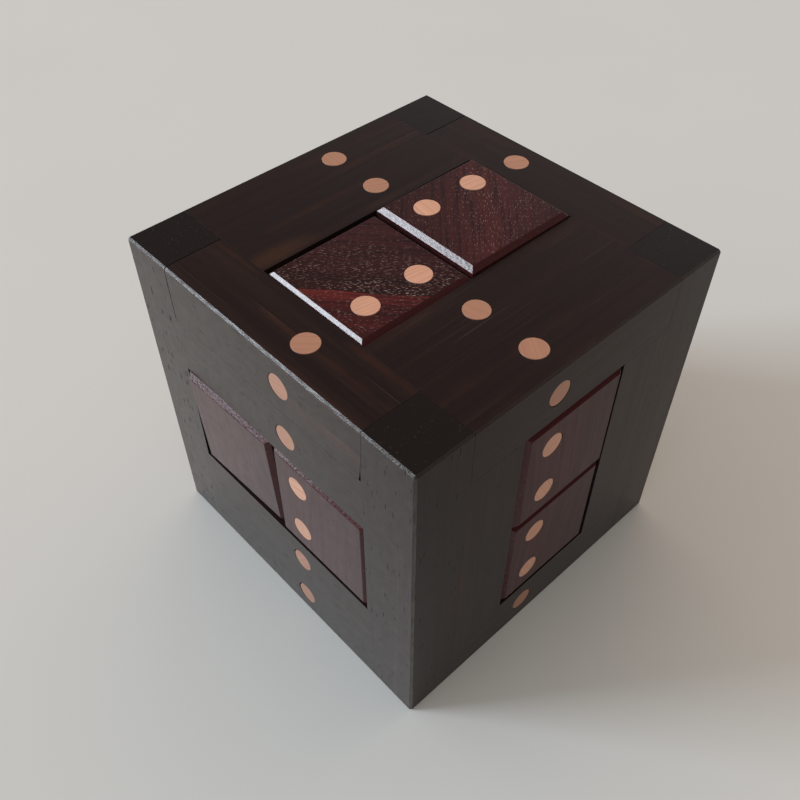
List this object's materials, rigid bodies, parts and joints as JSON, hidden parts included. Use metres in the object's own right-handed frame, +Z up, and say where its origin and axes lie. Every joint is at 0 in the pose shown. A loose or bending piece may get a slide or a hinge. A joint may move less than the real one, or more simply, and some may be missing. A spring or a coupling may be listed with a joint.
{
  "type": "puzzle dice box",
  "caption": "Dark wooden cube box with a hidden hinged lid; every face has a window with bevelled sliding tiles and pale round pips like a die.",
  "frame": {"origin": "middle of the base, on the surface that the box stands on", "axes": "+Z up through the lid, -Y out of the front face, +X to the right seen from the front; the hinge runs along X at the back"},
  "size_m": [0.0898, 0.0892, 0.0904],
  "materials": {
    "frame_wood": "satin",
    "tile_wood": "satin",
    "pale_pips": "satin",
    "liner_wood": "satin",
    "brass_pins": "satin",
    "magnets": "satin"
  },
  "bodies": {
    "frame": {"post_front_left": "frame_wood", "post_front_right": "frame_wood", "post_back_left": "frame_wood", "post_back_right": "frame_wood", "base_bar_front": "frame_wood", "base_bar_back": "frame_wood", "base_bar_left": "frame_wood", "base_bar_right": "frame_wood", "base_strip_back": "frame_wood", "base_strip_front": "frame_wood", "base_liner": "liner_wood", "left_strip_lower": "frame_wood", "left_strip_upper": "frame_wood", "left_liner": "liner_wood", "right_strip_lower": "frame_wood", "right_strip_upper": "frame_wood", "right_liner": "liner_wood", "front_strip_right": "frame_wood", "front_strip_left": "frame_wood", "front_liner": "liner_wood", "back_strip_left": "frame_wood", "back_strip_right": "frame_wood", "back_liner": "liner_wood", "frame_pips": "pale_pips", "frame_magnets": "magnets"},
    "lid": {"lid_bar_front": "frame_wood", "lid_bar_back": "frame_wood", "lid_bar_left": "frame_wood", "lid_bar_right": "frame_wood", "lid_strip_front": "frame_wood", "lid_strip_back": "frame_wood", "lid_liner": "liner_wood", "lid_pips": "pale_pips", "lid_magnets": "magnets", "hinge_pins": "brass_pins"},
    "lid_tile_left": {"lid_tile_left": "tile_wood", "lid_tile_left_pips": "pale_pips"},
    "lid_tile_right": {"lid_tile_right": "tile_wood", "lid_tile_right_pips": "pale_pips"},
    "base_tile_left": {"base_tile_left": "tile_wood", "base_tile_left_pips": "pale_pips"},
    "base_tile_right": {"base_tile_right": "tile_wood", "base_tile_right_pips": "pale_pips"},
    "left_tile_back": {"left_tile_back": "tile_wood"},
    "left_tile_front": {"left_tile_front": "tile_wood", "left_tile_front_pips": "pale_pips"},
    "right_tile_front": {"right_tile_front": "tile_wood"},
    "right_tile_back": {"right_tile_back": "tile_wood", "right_tile_back_pips": "pale_pips"},
    "front_tile_lower": {"front_tile_lower": "tile_wood", "front_tile_lower_pips": "pale_pips"},
    "front_tile_upper": {"front_tile_upper": "tile_wood", "front_tile_upper_pips": "pale_pips"},
    "back_tile_lower": {"back_tile_lower": "tile_wood", "back_tile_lower_pips": "pale_pips"},
    "back_tile_upper": {"back_tile_upper": "tile_wood", "back_tile_upper_pips": "pale_pips"}
  },
  "joints": [
    {"name": "lid_hinge", "type": "hinge", "parent": "frame", "child": "lid", "pos_m": [0, 0.04245, 0.0869], "axis": [-1, 0, 0], "range_deg": [0, 100]},
    {"name": "lid_tile_left_slide", "type": "slide", "parent": "lid", "child": "lid_tile_left", "axis": [0, 0, 1], "range_m": [-0.00237, 0.00123]},
    {"name": "lid_tile_right_slide", "type": "slide", "parent": "lid", "child": "lid_tile_right", "axis": [0, 0, 1], "range_m": [-0.00352, 0.00008]},
    {"name": "base_tile_left_slide", "type": "slide", "parent": "frame", "child": "base_tile_left", "axis": [0, 0, -1], "range_m": [-0.00173, 0.00187]},
    {"name": "base_tile_right_slide", "type": "slide", "parent": "frame", "child": "base_tile_right", "axis": [0, 0, -1], "range_m": [-0.00173, 0.00187]},
    {"name": "left_tile_back_slide", "type": "slide", "parent": "frame", "child": "left_tile_back", "axis": [-1, 0, 0], "range_m": [-0.0014, 0.00039]},
    {"name": "left_tile_front_slide", "type": "slide", "parent": "frame", "child": "left_tile_front", "axis": [-1, 0, 0], "range_m": [-0.00213, 0.00147]},
    {"name": "right_tile_front_slide", "type": "slide", "parent": "frame", "child": "right_tile_front", "axis": [1, 0, 0], "range_m": [-0.00205, 0.00155]},
    {"name": "right_tile_back_slide", "type": "slide", "parent": "frame", "child": "right_tile_back", "axis": [1, 0, 0], "range_m": [-0.00205, 0.00155]},
    {"name": "front_tile_lower_slide", "type": "slide", "parent": "frame", "child": "front_tile_lower", "axis": [0, -1, 0], "range_m": [-0.00211, 0.00149]},
    {"name": "front_tile_upper_slide", "type": "slide", "parent": "frame", "child": "front_tile_upper", "axis": [0, -1, 0], "range_m": [-0.00245, 0.00115]},
    {"name": "back_tile_lower_slide", "type": "slide", "parent": "frame", "child": "back_tile_lower", "axis": [0, 1, 0], "range_m": [-0.00205, 0.00155]},
    {"name": "back_tile_upper_slide", "type": "slide", "parent": "frame", "child": "back_tile_upper", "axis": [0, 1, 0], "range_m": [-0.00205, 0.00155]}
  ]
}
